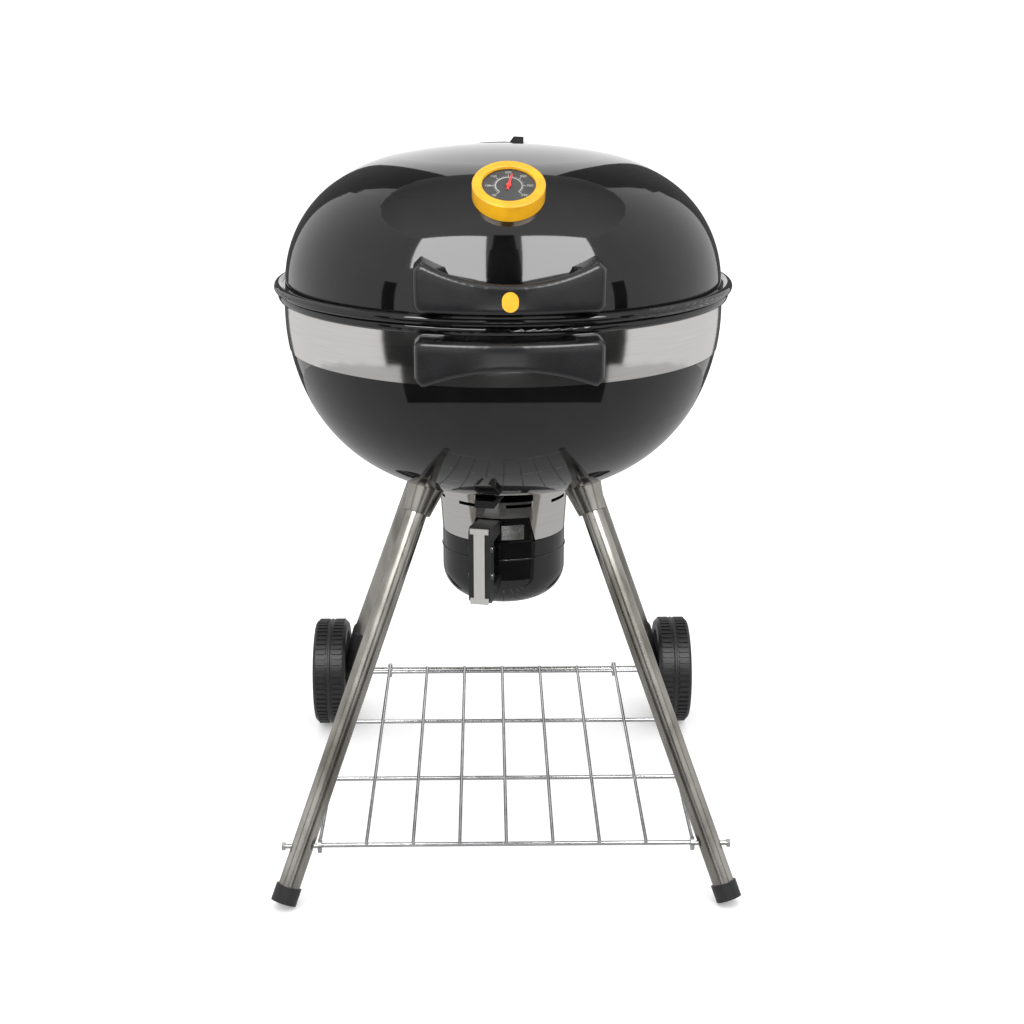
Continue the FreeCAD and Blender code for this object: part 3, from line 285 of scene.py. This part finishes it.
def add_wheels():
    """The moulded wheels with two rows of fine cross ribs beside a smooth middle rib."""
    for label in ("left", "right"):
        node = nodes["wheel_" + label]
        low, high = (Vector(corner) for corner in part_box("wheel_" + label))
        centre = (low + high) / 2
        width, radius = high.x - low.x, (high.z - low.z) / 2
        mesh = node.data.copy()
        mesh.transform(node.matrix_world)
        builder = bmesh.new()
        builder.from_mesh(mesh)
        for vert in builder.verts:
            reach = math.hypot(vert.co.y - centre.y, vert.co.z - centre.z)
            if reach > radius - TREAD_DEPTH:
                scale = (radius - TREAD_DEPTH) / reach
                vert.co.y = centre.y + (vert.co.y - centre.y) * scale
                vert.co.z = centre.z + (vert.co.z - centre.z) * scale
        for number in range(RIBS):
            turn = 2 * math.pi * number / RIBS
            out = Vector((0, math.cos(turn), math.sin(turn)))
            round_way = Vector((0, -math.sin(turn), math.cos(turn)))
            for side in (-1, 1):
                middle = centre + out * (radius - TREAD_DEPTH) + Vector((side * width * RIB_OFFSET, 0, 0))
                half = (width * RIB_HALF_WIDTH, math.pi * radius / RIBS * RIB_SHARE,
                        TREAD_DEPTH * RIB_HALF_HEIGHT)
                block(builder, middle, (Vector((1, 0, 0)), round_way, out), half, RIB_TAPER)
        add_middle_rib(builder, centre, width, radius)
        bmesh.ops.recalc_face_normals(builder, faces=builder.faces)
        builder.to_mesh(mesh)
        builder.free()
        piece = new_piece("ribbed_wheel_" + label, mesh, MATERIALS["wheel_plastic"], label + "_wheel")
        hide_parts("wheel_" + label)


def add_soft_handles():
    """The lid and bowl handles with the moulded, well rounded edges of the real grips."""
    for label, body in (("lid_handle", "lid"), ("bowl_handle", "frame")):
        node = nodes[label]
        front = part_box(label)[0][1]
        mesh = node.data.copy()
        mesh.transform(node.matrix_world)
        rough_copy = bpy.data.objects.new("rough_" + label, mesh)
        bpy.context.scene.collection.objects.link(rough_copy)
        even = rough_copy.modifiers.new("even", "REMESH")
        even.mode = "VOXEL"
        even.voxel_size = HANDLE_CELL
        bpy.context.view_layer.update()
        graph = bpy.context.evaluated_depsgraph_get()
        shape = bpy.data.meshes.new_from_object(rough_copy.evaluated_get(graph))
        bpy.data.objects.remove(rough_copy)
        builder = bmesh.new()
        builder.from_mesh(shape)
        grip = [vert for vert in builder.verts if vert.co.y < front + GRIP_DEPTH]
        for _ in range(HANDLE_ROUNDS):
            bmesh.ops.smooth_vert(builder, verts=grip, factor=0.5, use_axis_x=True, use_axis_y=True,
                                  use_axis_z=True)
        for face in builder.faces:
            face.smooth = True
        builder.to_mesh(shape)
        builder.free()
        piece = new_piece("rounded_" + label, shape, MATERIALS["handle_plastic"], body)
        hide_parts(label)


def dial_axes():
    """Right, up and out of the dial, and the middle of its face."""
    out = GAUGE_NORMAL
    right = Vector((0, 0, 1)).cross(out).normalized()
    up = out.cross(right)
    face = GAUGE_SPOT + out * DIAL_LIFT
    return right, up, out, face


def dial_spot(radius, degrees, lift=0.0):
    """A point on the dial, by its distance from the middle and its turn clockwise from the top."""
    right, up, out, face = dial_axes()
    turn = math.radians(degrees)
    return face + right * (radius * math.sin(turn)) + up * (radius * math.cos(turn)) + out * lift


def add_dial_scale():
    """The raised pale scale: an open ring with long and short ticks."""
    right, up, out, face = dial_axes()
    builder = bmesh.new()
    section = ((SCALE_INNER, -PRINT_THICKNESS), (SCALE_INNER, PRINT_THICKNESS),
               (SCALE_OUTER, PRINT_THICKNESS), (SCALE_OUTER, -PRINT_THICKNESS))
    turns = [SCALE_START + SCALE_SWEEP * number / SCALE_STEPS for number in range(SCALE_STEPS + 1)]
    rings = [[builder.verts.new(dial_spot(radius, turn, lift)) for turn in turns] for radius, lift in section]
    for row, ring in enumerate(rings):
        beside = rings[(row + 1) % len(rings)]
        for number in range(SCALE_STEPS):
            builder.faces.new((ring[number], beside[number], beside[number + 1], ring[number + 1]))
    builder.faces.new([ring[0] for ring in rings])
    builder.faces.new([ring[-1] for ring in reversed(rings)])
    for number in range(TICKS + 1):
        degrees = SCALE_START + SCALE_SWEEP * number / TICKS
        long_tick = number % TICKS_PER_NUMBER == 0
        end, half_width = (LONG_TICK_END, LONG_TICK_HALF) if long_tick else (SHORT_TICK_END, SHORT_TICK_HALF)
        turn = math.radians(degrees)
        away = right * math.sin(turn) + up * math.cos(turn)
        block(builder, dial_spot((TICK_START + end) / 2, degrees), (away.cross(out), away, out),
              (half_width, (end - TICK_START) / 2, PRINT_THICKNESS))
    bmesh.ops.recalc_face_normals(builder, faces=builder.faces)
    mesh = bpy.data.meshes.new("dial_scale")
    builder.to_mesh(mesh)
    builder.free()
    new_piece("dial_scale", mesh, MATERIALS["dial_print"], "lid")


def add_dial_numbers():
    """Plain numbers beside the long ticks."""
    right, up, out, face = dial_axes()
    facing = Matrix((right, up, out)).transposed().to_4x4()
    long_ticks = TICKS // TICKS_PER_NUMBER
    for number in range(long_ticks + 1):
        text = bpy.data.curves.new(f"dial_number_{number}", "FONT")
        text.body = str(NUMBER_STEP * (number + 1))
        text.size = NUMBER_SIZE
        text.align_x, text.align_y = "CENTER", "CENTER"
        text.extrude = PRINT_THICKNESS
        letters = bpy.data.objects.new(f"number_{number}", text)
        bpy.context.scene.collection.objects.link(letters)
        degrees = SCALE_START + SCALE_SWEEP * number / long_ticks
        letters.matrix_world = Matrix.Translation(dial_spot(NUMBER_RADIUS, degrees)) @ facing
        bpy.context.view_layer.update()
        graph = bpy.context.evaluated_depsgraph_get()
        mesh = bpy.data.meshes.new_from_object(letters.evaluated_get(graph))
        mesh.transform(letters.matrix_world)
        mesh.name = f"dial_number_{number}"
        bpy.data.objects.remove(letters)
        bpy.data.curves.remove(text)
        new_piece(f"dial_number_{number}", mesh, MATERIALS["dial_print"], "lid")


# ---------------------------------------------------------------- camera, light and floor
def look_at(obj, target):
    obj.rotation_euler = (Vector(target) - obj.location).to_track_quat("-Z", "Y").to_euler()


def add_camera():
    camera = bpy.data.objects.new("camera", bpy.data.cameras.new("camera"))
    camera.data.lens = CAMERA_LENS
    camera.data.sensor_width = 36.0
    camera.location = (CAMERA_X, AXIS_Y - CAMERA_DISTANCE, CAMERA_HEIGHT)
    camera.rotation_euler = (math.radians(90 - CAMERA_PITCH), 0, -CAMERA_HEADING)
    bpy.context.scene.collection.objects.link(camera)
    bpy.context.scene.camera = camera


def add_softbox(name, spot, target, width, height, power):
    lamp = bpy.data.lights.new(name, "AREA")
    lamp.shape = "RECTANGLE"
    lamp.size, lamp.size_y = width, height
    lamp.energy = power
    box = bpy.data.objects.new(name, lamp)
    box.location = spot
    look_at(box, target)
    box.visible_glossy = False
    bpy.context.scene.collection.objects.link(box)


def add_panel(name, centre, facing, width, height, color):
    """A plain studio panel."""
    mesh = bpy.data.meshes.new(name)
    half_w, half_h = width / 2, height / 2
    corners = [(-half_w, -half_h, 0), (half_w, -half_h, 0), (half_w, half_h, 0), (-half_w, half_h, 0)]
    mesh.from_pydata(corners, [], [(0, 1, 2, 3)])
    panel = bpy.data.objects.new(name, mesh)
    panel.location = centre
    look_at(panel, facing)
    mesh.materials.append(color)
    bpy.context.scene.collection.objects.link(panel)
    return panel


def paint(name, shade):
    """Matt pale studio paint with a faint mottle and a little glow of its own."""
    material = new_material(name, (shade, shade, shade), roughness=0.9, Specular_IOR_Level=0.0,
                            Emission_Strength=0.22, Emission_Color=(1, 1, 1, 1))
    vary_color(material, noise(material, 1.0), (shade * 0.985,) * 3, (shade,) * 3)
    return material


def glowing(name, strength):
    """An evenly lit white diffuser of the given brightness."""
    material = new_material(name, (0, 0, 0), roughness=0.9, Emission_Strength=strength,
                            Emission_Color=(1, 1, 1, 1))
    return material


def fading(name, near, far, first, last):
    """A diffuser that dims evenly from front to back."""
    material = glowing(name, first)
    place = add(material, "ShaderNodeTexCoord")
    split = add(material, "ShaderNodeSeparateXYZ")
    link(material, place, "Object", split, "Vector")
    spread = add(material, "ShaderNodeMapRange")
    for socket, amount in (("From Min", near), ("From Max", far), ("To Min", first), ("To Max", last)):
        spread.inputs[socket].default_value = amount
    link(material, split, "Y", spread, "Value")
    link(material, spread, "Result", material.node_tree.nodes["Principled BSDF"], "Emission Strength")
    return material


def reflected_only(panel):
    """A panel that is seen in reflections and neither lights nor hides the object."""
    panel.visible_camera = False
    panel.visible_diffuse = False
    panel.visible_shadow = False
    panel.visible_transmission = False


def add_sheet(name, corners, faces, material):
    """A stage object made of the given corners and faces."""
    mesh = bpy.data.meshes.new(name)
    mesh.from_pydata([tuple(corner) for corner in corners], [], faces)
    mesh.materials.append(material)
    sheet = bpy.data.objects.new(name, mesh)
    bpy.context.scene.collection.objects.link(sheet)
    return sheet


def round_the_axis(radius, degrees, height):
    """A point by its bearing from the front, clockwise seen from above."""
    bearing = math.radians(degrees)
    return Vector((-radius * math.sin(bearing), AXIS_Y - radius * math.cos(bearing), height))


def add_curtain(name, start, end, low, high, material):
    """A curved curtain of flat strips, hung on both sides of the grill."""
    steps = max(2, round((end - start) / 6))
    corners, faces = [], []
    for side in (-1, 1):
        for number in range(steps + 1):
            bearing = side * (start + (end - start) * number / steps)
            corners += [round_the_axis(TENT_RADIUS, bearing, height) for height in (low, high)]
        first = len(corners) - 2 * (steps + 1)
        for left in range(first, first + 2 * steps, 2):
            faces.append((left, left + 2, left + 3, left + 1))
    reflected_only(add_sheet(name, corners, faces, material))


def add_sector(name, half_angle, inner, outer, height, shade):
    """A flat piece of a ring, centred on the front bearing."""
    halves = 8
    bearings = [half_angle * (number / halves - 1) for number in range(2 * halves + 1)]
    ring = [round_the_axis(outer, bearing, height) for bearing in bearings]
    ring += [round_the_axis(inner, bearing, height) for bearing in reversed(bearings)]
    reflected_only(add_sheet(name, ring, [tuple(range(len(ring)))], glowing("glow_" + name, shade)))


def add_disc(name, height, material):
    """A flat disc that closes the tent."""
    ring = [round_the_axis(TENT_RADIUS, 360 / TENT_SIDES * number, height) for number in range(TENT_SIDES)]
    reflected_only(add_sheet(name, ring, [tuple(range(TENT_SIDES))], material))


def add_stage():
    """White world and floor, soft lights, and a tent of panels that is seen only in reflections."""
    world = bpy.data.worlds.new("studio")
    bpy.context.scene.world = world
    world.use_nodes = True
    world.node_tree.nodes["Background"].inputs["Color"].default_value = (1, 1, 1, 1)
    world.node_tree.nodes["Background"].inputs["Strength"].default_value = GLOW
    bpy.context.scene.view_settings.view_transform = "Standard"
    add_panel("floor", (0, 0, -0.0005), (0, 0, -5), FLOOR_SIZE, FLOOR_SIZE,
              paint("floor_paint", FLOOR_PAINT))
    for name, start, end, low, high, shade in CURTAINS:
        add_curtain("curtain_" + name, start, end, low, high, glowing("glow_" + name, shade))
    add_disc("ceiling", TENT_HEIGHT, fading("ceiling_glow", -0.7, 1.3, 0.78, 0.22))
    add_sector("floor_front", 52, 1.0, TENT_RADIUS, 0.0012, BLACK)
    add_sector("ceiling_middle", 8, 1.25, TENT_RADIUS, TENT_HEIGHT - 0.01, BLACK)
    add_disc("floor_shade", 0.0006, glowing("glow_floor", FLOOR_SHADE))
    diffuser = glowing("diffuser", BOX_GLOW)
    for side in (-1, 1):
        corners = [(side * 0.30, AXIS_Y - 1.97, 1.50), (side * 1.48, AXIS_Y - 1.27, 1.72),
                   (side * 1.60, AXIS_Y - 1.02, 2.98), (side * 0.31, AXIS_Y - 1.28, 2.98)]
        reflected_only(add_sheet(f"diffuser_{side}", corners, [(0, 1, 2, 3)], diffuser))
        add_softbox(f"softbox_{side}", (side * 1.4, -2.2, 2.6), (0, AXIS_Y, 0.7), 1.4, 1.4, SIDE_POWER)
    add_softbox("top_light", (0, -0.4, 3.4), (0, 0, 0), 3.0, 3.0, TOP_POWER)


dress_nodes()
add_wheels()
add_soft_handles()
add_dial_scale()
add_dial_numbers()
add_camera()
add_stage()
